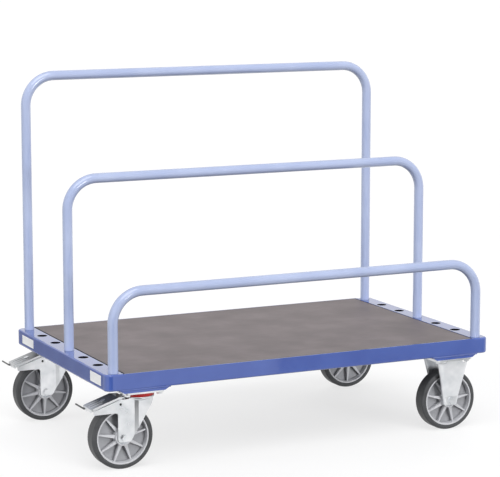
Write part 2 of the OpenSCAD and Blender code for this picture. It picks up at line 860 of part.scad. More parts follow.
// Plan of a leg at a height, drawn in by the inset and opened further towards the wheel
function leg_plan_at(z, inset, opening) =
    let (
        rise = (z - bracket_foot) / (plate_z - bracket_foot),
        half = (bracket_foot_width + (bracket_top_width - bracket_foot_width) * rise) / 2 - inset,
        splay = max(0, (z - bracket_knee) / (plate_z - bracket_knee)),
        face = bracket_outer + bracket_splay * splay,
        roll = bracket_roll * (1 + roll_growth_share * splay),
        y_open = opening + roll + bolt_clearance - face,
        y_face = inset - face
    )
    [rounded([
        [-half, y_open, 0], [-half, y_face, roll - inset],
        [half, y_face, roll - inset], [half, y_open, 0]]), z];

// What the rounding takes off a corner of the leg's foot
module foot_corner()
    let (
        half = bracket_foot_width / 2,
        z_low = bracket_foot - overrun,
        arc = corner_arc(
            [bracket_top_width / 2 + overrun, plate_z], [half + overrun, z_low], [-half, z_low], leg_corner)
    )
    side_plate(concat(arc, [
        [arc[corner_steps].x, z_low - overrun], [half + leg_corner, z_low - overrun],
        [half + leg_corner, arc[0].y]]), -bracket_outer - overrun, bracket_outer);

// Notch in a leg's shoulder that leaves room for a bolt head
module shoulder_notch()
    let (z_low = plate_z - bolt_head - 2 * bolt_clearance, z_high = plate_z + 2 * overrun)
    side_plate(rounded([
        [bracket_joint / 2, z_high, 0], [bracket_joint / 2, z_low, notch_round],
        [bracket_top_width, z_low, 0], [bracket_top_width, z_high, 0]]), -bracket_spread, bracket_spread);

// Leg pressed from sheet, its edges rolled towards the wheel
module bracket_leg()
    difference() {
        loft([for (z = [bracket_foot, bracket_knee, plate_z + overrun]) leg_plan_at(z, 0, 0)]);
        loft([for (z = [bracket_foot - overrun, bracket_knee, plate_z + 2 * overrun])
            leg_plan_at(z, fork_sheet, overrun)]);
        for (i = [0, 1])
            mirror([i, 0, 0]) {
                foot_corner();
                shoulder_notch();
            }
    }

module fixed_bracket()
    color(zinc)
        difference() {
            union() {
                drilled_plate(bracket_spread + 2 * overrun);
                bracket_leg();
                mirror([0, 1, 0]) bracket_leg();
            }
            on_axle() cross_bar(
                axle_diameter + 2 * running_clearance, -bracket_outer - overrun, bracket_outer + overrun);
        }

// Hoops

module hoop_path(diameter, height, leg_end) {
    centre = height - tube_diameter / 2 - bend_radius;
    for (i = [-1, 1]) {
        translate([i * socket_x, 0, leg_end]) cylinder(d = diameter, h = centre - leg_end);
        translate([i * (socket_x - bend_radius), 0, centre])
            rotate([90, 0, 0])
                rotate([0, 0, i > 0 ? 0 : 90])
                    rotate_extrude(angle = 90) translate([bend_radius, 0]) circle(d = diameter);
    }
    translate([-socket_x + bend_radius, 0, centre + bend_radius])
        rotate([0, 90, 0]) cylinder(d = diameter, h = 2 * (socket_x - bend_radius));
}

module hoop(height, row)
    color(hoop_blue)
        translate([0, row * socket_pitch, socket_floor])
            difference() {
                union() {
                    hoop_path(tube_diameter, height, leg_chamfer);
                    for (i = [-1, 1]) translate([i * socket_x, 0, 0])
                        cylinder(d1 = tube_diameter - 2 * leg_chamfer, d2 = tube_diameter, h = leg_chamfer);
                }
                hoop_path(tube_diameter - 2 * tube_wall, height, -overrun);
            }

module turned_end() mirror([1, 0, 0]) children();

side_rail();  // near_side_rail
mirror([0, 1, 0]) side_rail();  // far_side_rail
end_rail();  // swivel_end_rail
turned_end() end_rail();  // fixed_end_rail
end_sockets();  // swivel_end_sockets
turned_end() end_sockets();  // fixed_end_sockets
end_bearers();  // swivel_end_bearers
turned_end() end_bearers();  // fixed_end_bearers
middle_bearers();
deck_board();
both_swivels() bridge();  // swivel_bridges
both_fixed() bridge();  // fixed_bridges
every_caster() at_plate_corners() caster_bolt();  // caster_bolts
every_caster() at_plate_corners() caster_nut();  // caster_nuts
both_swivels() kingpin();  // kingpins
both_swivels() kingpin_nut();  // kingpin_nuts
near_swivel() swivel_plate();  // near_swivel_plate
near_swivel() fork();  // near_fork
near_swivel() ball_race();  // near_ball_race
near_swivel() seal_ring();  // near_seal_ring
near_swivel() pivot_pin();  // near_pivot_pin
near_swivel() on_trail() axle_bolt(leg_outer);  // near_axle_bolt
near_swivel() on_trail() axle_nut(leg_outer);  // near_axle_nut
near_swivel() on_trail() axle_sleeve(leg_inner);  // near_axle_sleeve
near_swivel() on_trail() rim(near_swivel_turn);  // near_swivel_rim
near_swivel() on_trail() tyre();  // near_swivel_tyre
near_swivel() on_trail() bearings();  // near_swivel_bearings
near_swivel() brake_pedal();  // near_brake_pedal
near_swivel() brake_shoe();  // near_brake_shoe
near_swivel() release_lever();  // near_release_lever
far_swivel() swivel_plate();  // far_swivel_plate
far_swivel() fork();  // far_fork
far_swivel() ball_race();  // far_ball_race
far_swivel() seal_ring();  // far_seal_ring
far_swivel() pivot_pin();  // far_pivot_pin
far_swivel() on_trail() axle_bolt(leg_outer);  // far_axle_bolt
far_swivel() on_trail() axle_nut(leg_outer);  // far_axle_nut
far_swivel() on_trail() axle_sleeve(leg_inner);  // far_axle_sleeve
far_swivel() on_trail() rim(far_swivel_turn);  // far_swivel_rim
far_swivel() on_trail() tyre();  // far_swivel_tyre
far_swivel() on_trail() bearings();  // far_swivel_bearings
far_swivel() brake_pedal();  // far_brake_pedal
far_swivel() brake_shoe();  // far_brake_shoe
far_swivel() release_lever();  // far_release_lever
near_fixed() fixed_bracket();  // near_fixed_bracket
far_fixed() fixed_bracket();  // far_fixed_bracket
both_fixed() on_axle() axle_bolt(bracket_outer);  // fixed_axle_bolts
both_fixed() on_axle() axle_nut(bracket_outer);  // fixed_axle_nuts
both_fixed() on_axle() axle_sleeve(bracket_inner);  // fixed_axle_sleeves
near_fixed() on_axle() rim(near_fixed_turn);  // near_fixed_rim
near_fixed() on_axle() tyre();  // near_fixed_tyre
near_fixed() on_axle() bearings();  // near_fixed_bearings
far_fixed() on_axle() rim(far_fixed_turn);  // far_fixed_rim
far_fixed() on_axle() tyre();  // far_fixed_tyre
far_fixed() on_axle() bearings();  // far_fixed_bearings
hoop(tall_hoop_height, last_row);  // tall_hoop
hoop(middle_hoop_height, 0);  // middle_hoop
hoop(low_hoop_height, -last_row);  // low_hoop
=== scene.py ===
"""Looks of a panel cart: a low blue steel platform on four casters, with loose tube hoops."""

import json
import math

import bmesh
import bpy
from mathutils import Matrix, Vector


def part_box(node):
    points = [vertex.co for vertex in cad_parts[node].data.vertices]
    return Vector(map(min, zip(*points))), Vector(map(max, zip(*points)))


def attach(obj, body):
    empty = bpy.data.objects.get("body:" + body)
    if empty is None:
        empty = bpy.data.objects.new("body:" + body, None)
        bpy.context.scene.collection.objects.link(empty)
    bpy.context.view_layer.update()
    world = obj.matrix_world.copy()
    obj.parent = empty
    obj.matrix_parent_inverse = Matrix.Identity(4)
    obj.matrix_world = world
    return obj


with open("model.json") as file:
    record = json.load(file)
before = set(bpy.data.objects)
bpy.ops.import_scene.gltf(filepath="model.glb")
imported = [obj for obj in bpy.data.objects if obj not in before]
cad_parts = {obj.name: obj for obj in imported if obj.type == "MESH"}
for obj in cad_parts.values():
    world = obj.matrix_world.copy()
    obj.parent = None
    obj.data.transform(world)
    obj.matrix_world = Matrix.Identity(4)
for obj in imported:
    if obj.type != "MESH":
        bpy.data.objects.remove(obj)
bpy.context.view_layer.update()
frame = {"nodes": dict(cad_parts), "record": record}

MM = 0.001
WHITE = (1.0, 1.0, 1.0, 1.0)
# Socket numbers of a colour Mix node: the two colours and their blend
MIX_A, MIX_B, MIXED = 6, 7, 2
scene = bpy.context.scene


def linear(hex_colour):
    """An sRGB hex colour as the linear RGBA that shader sockets take."""
    channels = [int(hex_colour[i:i + 2], 16) / 255 for i in (1, 3, 5)]
    return [c / 12.92 if c <= 0.04045 else ((c + 0.055) / 1.055) ** 2.4 for c in channels] + [1.0]


def add_node(tree, kind, inputs=None, stops=(), **settings):
    """Adds a node. Inputs are values or other nodes' outputs; stops are a ramp's (place, hex)."""
    node = tree.nodes.new(kind)
    for name, value in settings.items():
        setattr(node, name, value)
    for name, value in (inputs or {}).items():
        if isinstance(value, bpy.types.NodeSocket):
            tree.links.new(value, node.inputs[name])
        else:
            node.inputs[name].default_value = value
    if stops:
        ramp = node.color_ramp.elements
        for position, _ in stops[2:]:
            ramp.new(position)
        for element, (position, hex_colour) in zip(ramp, stops):
            element.position = position
            element.color = linear(hex_colour)
    return node


# Places that several finishes and pieces share

deck_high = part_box("deck_board")[1]
rail_low, rail_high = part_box("far_side_rail")
rim_low, rim_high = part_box("near_fixed_rim")
pedal_low, pedal_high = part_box("near_brake_pedal")
plate_low, plate_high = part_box("near_swivel_plate")
WHEEL_Y = -(rim_low.y + rim_high.y) / 2
CASTER_X = -(plate_low.x + plate_high.x) / 2
CASTERS = [(i * CASTER_X, j * WHEEL_Y) for i in (-1, 1) for j in (-1, 1)]


# Materials. Patterns read Object coordinates, which are metres here, so a noise of
# scale 1 / size has features of about that size.

def per_metre(feature_mm):
    """Texture scale for a pattern whose features are this many millimetres wide."""
    return 1 / (feature_mm * MM)


def blank_material(name):
    """A material and its node tree, which is empty."""
    material = bpy.data.materials.new(name)
    material.use_nodes = True
    material.node_tree.nodes.clear()
    return material, material.node_tree


def start_material(name):
    """A material, its node tree and the Object coordinates in it."""
    material, tree = blank_material(name)
    return material, tree, add_node(tree, "ShaderNodeTexCoord").outputs["Object"]


def end_material(tree, inputs):
    """Gives the tree its Principled shader and output."""
    shader = add_node(tree, "ShaderNodeBsdfPrincipled", inputs)
    add_node(tree, "ShaderNodeOutputMaterial", {"Surface": shader.outputs["BSDF"]})


def painted_bore_shade(tree, place, bores):
    """1 within the rows of bores across both ends of the cart, from their foot up, 0 elsewhere:
    where shade is painted.
    """
    axes = add_node(tree, "ShaderNodeSeparateXYZ", {"Vector": place})
    end = add_node(tree, "ShaderNodeMath", {0: axes.outputs["X"]}, operation="ABSOLUTE")
    off_x = add_node(tree, "ShaderNodeMath", {0: end.outputs["Value"], 1: bores["x"]},
                     operation="SUBTRACT")
    half_pitch = bores["pitch"] / 2
    off_y = add_node(tree, "ShaderNodeMath",
                     {0: axes.outputs["Y"], 1: half_pitch, 2: -half_pitch}, operation="WRAP")
    offset = add_node(tree, "ShaderNodeCombineXYZ",
                      {"X": off_x.outputs["Value"], "Y": off_y.outputs["Value"]})
    reach = add_node(tree, "ShaderNodeVectorMath", {0: offset.outputs["Vector"]},
                     operation="LENGTH")
    inside = add_node(tree, "ShaderNodeMath", {0: reach.outputs["Value"], 1: bores["radius"]},
                      operation="LESS_THAN")
    above = add_node(tree, "ShaderNodeMath", {0: axes.outputs["Z"], 1: bores["foot"]},
                     operation="GREATER_THAN")
    both = add_node(tree, "ShaderNodeMath",
                    {0: inside.outputs["Value"], 1: above.outputs["Value"]}, operation="MULTIPLY")
    return both.outputs["Value"]


def gloss_paint(name, dark, mid, light, smooth, dull, skin=0.0, bores=None):
    """Polyester powder coat baked on steel: glossy, with the soft ripple called orange peel.

    Skin is how much clear resin stands over the pigment. Where bores are given, their walls are
    painted near black as shade, standing in for the shadow inside them.
    """
    material, tree, place = start_material(name)
    cloud = add_node(tree, "ShaderNodeTexNoise",
                     {"Vector": place, "Scale": per_metre(140), "Detail": 3.0})
    colour = add_node(tree, "ShaderNodeValToRGB", {"Fac": cloud.outputs["Fac"]},
                      [(0.3, dark), (0.5, mid), (0.7, light)])
    haze = add_node(tree, "ShaderNodeTexNoise",
                    {"Vector": place, "Scale": per_metre(25), "Detail": 2.0})
    rough = add_node(tree, "ShaderNodeMapRange",
                     {"Value": haze.outputs["Fac"], "To Min": smooth, "To Max": dull})
    # The ripple is about 2 mm wide on the real coat and is drawn at 4 mm so that it shows.
    peel = add_node(tree, "ShaderNodeTexNoise",
                    {"Vector": place, "Scale": per_metre(4), "Detail": 1.0})
    ripple = add_node(tree, "ShaderNodeBump",
                      {"Height": peel.outputs["Fac"], "Strength": 0.15, "Distance": 0.05 * MM})
    pigment = colour.outputs["Color"]
    if bores:
        # Painted shade: the bore walls are coloured near black, for the shadow inside the bores
        pigment = add_node(tree, "ShaderNodeMix",
                           {"Factor": painted_bore_shade(tree, place, bores), MIX_A: pigment,
                            MIX_B: linear("#08090F")}, data_type="RGBA").outputs[MIXED]
    end_material(tree, {"Base Color": pigment, "Roughness": rough.outputs["Result"], "IOR": 1.5,
                        "Coat Weight": skin, "Coat Roughness": 0.03,
                        "Normal": ripple.outputs["Normal"]})
    return material


def film_faced_plywood(half_length, half_width, lap):
    """Plywood under a brown phenolic film: matt and streaked along the sheet.

    Dark paint seals the sawn edges of the board and laps a little over its film.
    """
    material, tree, place = start_material("film_faced_plywood")
    along = add_node(tree, "ShaderNodeMapping", {"Vector": place, "Scale": (0.06, 1.0, 1.0)})
    streak = add_node(tree, "ShaderNodeTexNoise",
                      {"Vector": along.outputs["Vector"], "Scale": per_metre(5), "Detail": 4.0,
                       "Roughness": 0.65})
    patch = add_node(tree, "ShaderNodeTexNoise",
                     {"Vector": place, "Scale": per_metre(110), "Detail": 4.0})
    both = add_node(tree, "ShaderNodeMath",
                    {0: streak.outputs["Fac"], 1: patch.outputs["Fac"]}, operation="ADD")
    mean = add_node(tree, "ShaderNodeMath", {0: both.outputs["Value"], 1: 0.5},
                    operation="MULTIPLY")
    colour = add_node(tree, "ShaderNodeValToRGB", {"Fac": mean.outputs["Value"]},
                      [(0.36, "#5D5556"), (0.5, "#685F60"), (0.64, "#746B6C")])
    axes = add_node(tree, "ShaderNodeSeparateXYZ", {"Vector": place})
    bare = 1.0
    for axis, half in (("X", half_length), ("Y", half_width)):
        off_middle = add_node(tree, "ShaderNodeMath", {0: axes.outputs[axis]},
                              operation="ABSOLUTE")
        clear = add_node(tree, "ShaderNodeMath", {0: off_middle.outputs["Value"], 1: half - lap},
                         operation="LESS_THAN")
        bare = add_node(tree, "ShaderNodeMath", {0: clear.outputs["Value"], 1: bare},
                        operation="MULTIPLY").outputs["Value"]
    film = add_node(tree, "ShaderNodeMix",
                    {"Factor": bare, MIX_A: linear("#171414"), MIX_B: colour.outputs["Color"]},
                    data_type="RGBA")
    rough = add_node(tree, "ShaderNodeMapRange",
                     {"Value": streak.outputs["Fac"], "To Min": 0.5, "To Max": 0.64})
    # Wire-mesh print of the press plate, about 2 mm wide and drawn at 6 mm.
    mesh_print = add_node(tree, "ShaderNodeTexVoronoi", {"Vector": place, "Scale": per_metre(6)},
                          feature="DISTANCE_TO_EDGE")
    relief = add_node(tree, "ShaderNodeBump",
                      {"Height": mesh_print.outputs["Distance"], "Strength": 0.2,
                       "Distance": 0.15 * MM})
    end_material(tree, {"Base Color": film.outputs[MIXED], "Roughness": rough.outputs["Result"],
                        "IOR": 1.5, "Normal": relief.outputs["Normal"]})
    return material


def tread_painted_reflection(tree, place, tread):
    """Share of painted dark reflection on a pedal's sloping tread, growing towards its fold. What
    is pressed up from the tread stays bright.
    """
    axes = add_node(tree, "ShaderNodeSeparateXYZ", {"Vector": place})
    along = {"Value": axes.outputs["X"], "From Min": tread["tip_x"], "From Max": tread["fold_x"]}
    level = add_node(tree, "ShaderNodeMapRange",
                     {**along, "To Min": tread["tip_z"], "To Max": tread["fold_z"]})
    flush = add_node(tree, "ShaderNodeMath",
                     {0: axes.outputs["Z"], 1: level.outputs["Result"], 2: tread["slack"]},
                     operation="COMPARE")
    painted_dark = add_node(tree, "ShaderNodeMapRange",
                    {**along, "To Min": tread["tip_painted_dark"], "To Max": tread["fold_painted_dark"]})
    share = add_node(tree, "ShaderNodeMath",
                     {0: flush.outputs["Value"], 1: painted_dark.outputs["Result"]}, operation="MULTIPLY")
    return share.outputs["Value"]


def bright_metal(name, dark, light, roughness, tread=None):
    """Zinc plate or ground steel: bright and even, with a faint bloom and fine rolling lines.

    Where a pedal's tread is given, the tread is painted darker, for the dark surroundings it
    mirrors.
    """
    material, tree, place = start_material(name)
    bloom = add_node(tree, "ShaderNodeTexNoise",
                     {"Vector": place, "Scale": per_metre(45), "Detail": 2.0})
    colour = add_node(tree, "ShaderNodeValToRGB", {"Fac": bloom.outputs["Fac"]},
                      [(0.3, dark), (0.7, light)])
    rough = add_node(tree, "ShaderNodeMapRange",
                     {"Value": bloom.outputs["Fac"], "To Min": roughness - 0.03,
                      "To Max": roughness + 0.05})
    # Rolling lines are finer than 1 mm and are drawn at 2 mm.
    rolled = add_node(tree, "ShaderNodeMapping", {"Vector": place, "Scale": (1.0, 1.0, 0.1)})
    lines = add_node(tree, "ShaderNodeTexNoise",
                     {"Vector": rolled.outputs["Vector"], "Scale": per_metre(2), "Detail": 2.0})
    relief = add_node(tree, "ShaderNodeBump",
                      {"Height": lines.outputs["Fac"], "Strength": 0.06, "Distance": 0.05 * MM})
    plating = colour.outputs["Color"]
    if tread:
        # Painted reflection: the flat of the tread is darkened towards its fold, standing in for
        # what it mirrors
        plating = add_node(tree, "ShaderNodeMix",
                           {"Factor": tread_painted_reflection(tree, place, tread), MIX_A: plating,
                            MIX_B: linear("#3A3F45")}, data_type="RGBA").outputs[MIXED]
    end_material(tree, {"Base Color": plating, "Roughness": rough.outputs["Result"],
                        "Metallic": 1.0, "Normal": relief.outputs["Normal"]})
    return material


def moulded(name, dark, light, roughness, grain_mm, depth_mm):
    """Injection-moulded plastic or rubber: even colour with the mould's fine spark grain."""
    material, tree, place = start_material(name)
    flow = add_node(tree, "ShaderNodeTexNoise",
                    {"Vector": place, "Scale": per_metre(30), "Detail": 3.0})
    colour = add_node(tree, "ShaderNodeValToRGB", {"Fac": flow.outputs["Fac"]},
                      [(0.35, dark), (0.65, light)])
    grain = add_node(tree, "ShaderNodeTexNoise",
                     {"Vector": place, "Scale": per_metre(grain_mm), "Detail": 2.0})
    rough = add_node(tree, "ShaderNodeMapRange",
                     {"Value": grain.outputs["Fac"], "To Min": roughness - 0.06,
                      "To Max": roughness + 0.06})
    relief = add_node(tree, "ShaderNodeBump",
                      {"Height": grain.outputs["Fac"], "Strength": 0.3,
                       "Distance": depth_mm * MM})
    end_material(tree, {"Base Color": colour.outputs["Color"],
                        "Roughness": rough.outputs["Result"],
                        "IOR": 1.5, "Normal": relief.outputs["Normal"]})
    return material


def moulded_rim(wheel_y, web_half, rib_half):
    """Moulded polyamide: a dull grained web and smoother ribs and rim; the recessed web is painted
    darker as shade, the ribs and rim lighter.

    The web reaches web_half from the wheel's middle, and the polish and painted shade are full
    from rib_half on.
    """
    material, tree, place = start_material("grey_moulded_polyamide")
    axes = add_node(tree, "ShaderNodeSeparateXYZ", {"Vector": place})
    side = add_node(tree, "ShaderNodeMath", {0: axes.outputs["Y"]}, operation="ABSOLUTE")
    off_middle = add_node(tree, "ShaderNodeMath", {0: side.outputs["Value"], 1: wheel_y},
                          operation="SUBTRACT")
    depth = add_node(tree, "ShaderNodeMath", {0: off_middle.outputs["Value"]},
                     operation="ABSOLUTE")
    polish_and_painted_shade = add_node(tree, "ShaderNodeMapRange",
                      {"Value": depth.outputs["Value"], "From Min": web_half,
                       "From Max": rib_half})
    grain = add_node(tree, "ShaderNodeTexNoise",
                     {"Vector": place, "Scale": per_metre(1.5), "Detail": 2.0})
    fleck = add_node(tree, "ShaderNodeMapRange",
                     {"Value": grain.outputs["Fac"], "To Min": -0.1, "To Max": 0.1})
    shade = add_node(tree, "ShaderNodeMath",
                     {0: polish_and_painted_shade.outputs["Result"], 1: fleck.outputs["Result"]}, operation="ADD")
    # Painted shade: the recessed web is coloured darker than the ribs and rim
    colour = add_node(tree, "ShaderNodeValToRGB", {"Fac": shade.outputs["Value"]},
                      [(0.0, "#9B9CA0"), (1.0, "#C6C7CB")])
    rough = add_node(tree, "ShaderNodeMapRange",
                     {"Value": polish_and_painted_shade.outputs["Result"], "To Min": 0.52, "To Max": 0.32})
    relief = add_node(tree, "ShaderNodeBump",
                      {"Height": grain.outputs["Fac"], "Strength": 0.25, "Distance": 0.05 * MM})
    end_material(tree, {"Base Color": colour.outputs["Color"],
                        "Roughness": rough.outputs["Result"],
                        "IOR": 1.5, "Normal": relief.outputs["Normal"]})
    return material


TREAD_LENGTH = 89 * MM
TREAD_DROP = 29 * MM
# The pedal tread's shape, and how dark its painted reflection is at the tip and at the fold
TREAD = {"tip_x": pedal_low.x, "tip_z": pedal_high.z - TREAD_DROP, "tip_painted_dark": 0.35,
         "fold_x": pedal_low.x + TREAD_LENGTH, "fold_z": pedal_high.z, "fold_painted_dark": 0.92,
         "slack": 0.4 * MM}
# Bores in the end rails whose walls get painted shade
BORE_SHADE = {"x": 640 * MM, "pitch": 125 * MM, "radius": 17 * MM, "foot": rail_low.z + 3 * MM}
ZINC = {"dark": "#D6D9DC", "light": "#F0F1F3", "roughness": 0.28}

FINISHES = {
    "frame_paint": gloss_paint("blue_powder_coat", "#3D539C", "#4259A2", "#475FA8",
                               smooth=0.06, dull=0.12, skin=0.6, bores=BORE_SHADE),
    "hoop_paint": gloss_paint("light_blue_powder_coat", "#9EABCE", "#A4B0D1", "#AAB6D5",
                              smooth=0.08, dull=0.14, skin=0.7),
    # The sockets' insides: a near-black coat that paints the shade inside them
    "socket_coat": gloss_paint("painted_shade_powder_coat", "#0A0C16", "#0C0F1B", "#0F1220",
                               smooth=0.35, dull=0.5),
    "lever_black": gloss_paint("black_powder_coat", "#1B1B1D", "#1F1F21", "#242426",
                               smooth=0.25, dull=0.35),
    "deck_film": film_faced_plywood(deck_high.x, deck_high.y, lap=2.5 * MM),
    "zinc": bright_metal("bright_zinc_plate", **ZINC),
    "bearing_steel": bright_metal("ground_bearing_steel", "#A9ADB2", "#C4C8CC", roughness=0.22),
    "seal": moulded("red_moulded_polyamide", "#9A1B1B", "#AB2222",
                    roughness=0.35, grain_mm=2, depth_mm=0.03),
    "rim": moulded_rim(WHEEL_Y, web_half=6 * MM, rib_half=13 * MM),
    "tyre": moulded("grey_thermoplastic_rubber", "#3B3C3E", "#454648",
                    roughness=0.5, grain_mm=2, depth_mm=0.08),
}
# The pedals' zinc, with painted dark reflection on the treads
zinc_with_painted_reflection = bright_metal("zinc_plate_painted_reflection", **ZINC, tread=TREAD)
OWN_FINISHES = {"near_brake_pedal": zinc_with_painted_reflection, "far_brake_pedal": zinc_with_painted_reflection}
for entry in frame["record"]["subparts"]:
    mesh = frame["nodes"][entry["node"]].data
    mesh.materials.clear()
    mesh.materials.append(OWN_FINISHES.get(entry["node"], FINISHES[entry["material_slot"]]))


def link_piece(name, mesh, material, body):
    """Links a finished mesh as a piece that rides on a CAD body."""
    piece = bpy.data.objects.new(name, mesh)
    scene.collection.objects.link(piece)
    mesh.materials.clear()
    mesh.materials.append(material)
    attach(piece, body)


# Two blank plates on the face of the swivel end

label_film = moulded("white_label_film", "#F0F1F2", "#F7F8F9",
                     roughness=0.3, grain_mm=4, depth_mm=0.02)
LABEL_THICK = 0.5 * MM
LABEL_CORNER = 2 * MM
face_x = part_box("swivel_end_rail")[0].x


def label_plate(name, y_low, y_high, z_low, z_high):
    """A thin plate with rounded corners, flat on the end rail's face."""
    form = bmesh.new()
    bmesh.ops.create_cube(form, size=1)
    middle = Vector((face_x - LABEL_THICK / 2, (y_low + y_high) / 2, (z_low + z_high) / 2))
    for vertex in form.verts:
        vertex.co = middle + Vector((vertex.co.x * LABEL_THICK, vertex.co.y * (y_high - y_low),
                                     vertex.co.z * (z_high - z_low)))
    corners = [edge for edge in form.edges
               if abs(edge.verts[0].co.x - edge.verts[1].co.x) > LABEL_THICK / 2]
    bmesh.ops.bevel(form, geom=corners, offset=LABEL_CORNER, segments=4, affect="EDGES",
                    profile=0.5)
    mesh = bpy.data.meshes.new(name)
    form.to_mesh(mesh)
    form.free()
    link_piece(name, mesh, label_film, "platform")


label_plate("far_blank_plate", y_low=0.239, y_high=0.346, z_low=0.266, z_high=0.294)
label_plate("near_blank_plate", y_low=-0.363, y_high=-0.274, z_low=0.265, z_high=0.297)


# Washers and weld beads, grown by Geometry Nodes

def start_growth(name, sizes):
    """A geometry tree whose inputs are the base mesh and these named sizes, and those inputs."""
    tree = bpy.data.node_groups.new(name, "GeometryNodeTree")
    tree.interface.new_socket("Base", in_out="INPUT", socket_type="NodeSocketGeometry")
    for size in sizes:
        tree.interface.new_socket(size, in_out="INPUT", socket_type="NodeSocketFloat")
    tree.interface.new_socket("Trim", in_out="OUTPUT", socket_type="NodeSocketGeometry")
    return tree, add_node(tree, "NodeGroupInput").outputs


def end_growth(tree, instances, material):
    """Makes the instances real and gives them their finish."""
    real = add_node(tree, "GeometryNodeRealizeInstances", {"Geometry": instances})
    finish = add_node(tree, "GeometryNodeSetMaterial",
                      {"Geometry": real.outputs["Geometry"], "Material": material})
    add_node(tree, "NodeGroupOutput", {"Trim": finish.outputs["Geometry"]})


def washer_growth():
    """A flat ring at every point of the base mesh, tilted about X."""
    tree, given = start_growth("washers", ("Middle radius", "Band", "Thickness", "Tilt"))
    circle = add_node(tree, "GeometryNodeCurvePrimitiveCircle",
                      {"Radius": given["Middle radius"], "Resolution": 40})
    band = add_node(tree, "GeometryNodeCurvePrimitiveQuadrilateral",
                    {"Width": given["Band"], "Height": given["Thickness"]})
    ring = add_node(tree, "GeometryNodeCurveToMesh",
                    {"Curve": circle.outputs["Curve"], "Profile Curve": band.outputs["Curve"]})
    tilt = add_node(tree, "ShaderNodeCombineXYZ", {"X": given["Tilt"]})
    turned = add_node(tree, "GeometryNodeTransform",
                      {"Geometry": ring.outputs["Mesh"], "Rotation": tilt.outputs["Vector"]})
    flat = add_node(tree, "GeometryNodeSetShadeSmooth",
                    {"Geometry": turned.outputs["Geometry"], "Shade Smooth": False})
    rings = add_node(tree, "GeometryNodeInstanceOnPoints",
                     {"Points": given["Base"], "Instance": flat.outputs["Geometry"]})
    end_growth(tree, rings.outputs["Instances"], FINISHES["zinc"])
    return tree


def weld_growth():
    """Overlapping lumps along every edge of the base mesh, like the scales of a hand-laid weld."""
    tree, given = start_growth("weld_beads", ("Pitch", "Radius"))
    path = add_node(tree, "GeometryNodeMeshToCurve", {"Mesh": given["Base"]})
    spots = add_node(tree, "GeometryNodeResampleCurve",
                     {"Curve": path.outputs["Curve"], "Length": given["Pitch"]}, mode="LENGTH")
    lump = add_node(tree, "GeometryNodeMeshUVSphere",
                    {"Radius": given["Radius"], "Segments": 8, "Rings": 5})
    lumps = add_node(tree, "GeometryNodeInstanceOnPoints",
                     {"Points": spots.outputs["Curve"], "Instance": lump.outputs["Mesh"]})
    end_growth(tree, lumps.outputs["Instances"], FINISHES["frame_paint"])
    return tree


def grow(name, tree, points, edges, sizes, body, slot):
    """Grows trim on these points and edges, makes it a plain mesh and lets it ride on a body."""
    base = bpy.data.meshes.new(name)
    base.from_pydata(points, edges, [])
    holder = bpy.data.objects.new(name + "_base", base)
    scene.collection.objects.link(holder)
    growth = holder.modifiers.new(name, "NODES")
    growth.node_group = tree
    for item in tree.interface.items_tree:
        if item.name in sizes:
            growth[item.identifier] = sizes[item.name]
    grown = holder.evaluated_get(bpy.context.evaluated_depsgraph_get())
    mesh = bpy.data.meshes.new_from_object(grown)
    holder.modifiers.remove(growth)
    bpy.data.objects.remove(holder)
    link_piece(name, mesh, FINISHES[slot], body)


# An axle bolt's head lies outside the first face of its fork or bracket, and its nut and the
# thread's end outside the other face.
AXLE_HEAD = 7.5 * MM
AXLE_NUT_AND_STUB = 13 * MM
AXLE_WASHER = {"Middle radius": 9.2 * MM, "Band": 5.6 * MM, "Thickness": 2.5 * MM,
               "Tilt": math.pi / 2}
BOLT_WASHER = {"Middle radius": 7.6 * MM, "Band": 4.8 * MM, "Thickness": 2 * MM, "Tilt": 0.0}
BOLT_HEAD = 6.4 * MM
BOLTS_ALONG = 105 * MM
BOLTS_ACROSS = 88 * MM
washers = washer_growth()


def axle_washers(x, face_low, face_high, z):
    """Middles of an axle's two washers, on the outer faces of its fork or bracket."""
    half = AXLE_WASHER["Thickness"] / 2
    return [(x, face_low - half, z), (x, face_high + half, z)]


for side in ("near", "far"):
    low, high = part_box(side + "_axle_bolt")
    grow(side + "_fork_washers", washers,
         axle_washers((low.x + high.x) / 2, low.y + AXLE_HEAD, high.y - AXLE_NUT_AND_STUB,
                      (low.z + high.z) / 2),
         [], AXLE_WASHER, side + "_swivel_fork", "zinc")

# The fixed axles share one node, whose box gives only the outer flank of each bracket. The inner
# flank is its mirror image about the wheel.
low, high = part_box("fixed_axle_bolts")
axle_x, axle_z = (low.x + high.x) / 2, (low.z + high.z) / 2
near_face, far_face = low.y + AXLE_HEAD, high.y - AXLE_NUT_AND_STUB
grow("fixed_axle_washers", washers,
     axle_washers(axle_x, near_face, -2 * WHEEL_Y - near_face, axle_z)
     + axle_washers(axle_x, 2 * WHEEL_Y - far_face, far_face, axle_z),
     [], AXLE_WASHER, "platform", "zinc")

under_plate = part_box("caster_bolts")[0].z + BOLT_HEAD - BOLT_WASHER["Thickness"] / 2
grow("caster_bolt_washers", washers,
     [(x + i * BOLTS_ALONG / 2, y + j * BOLTS_ACROSS / 2, under_plate)
      for x, y in CASTERS for i in (-1, 1) for j in (-1, 1)],
     [], BOLT_WASHER, "platform", "zinc")

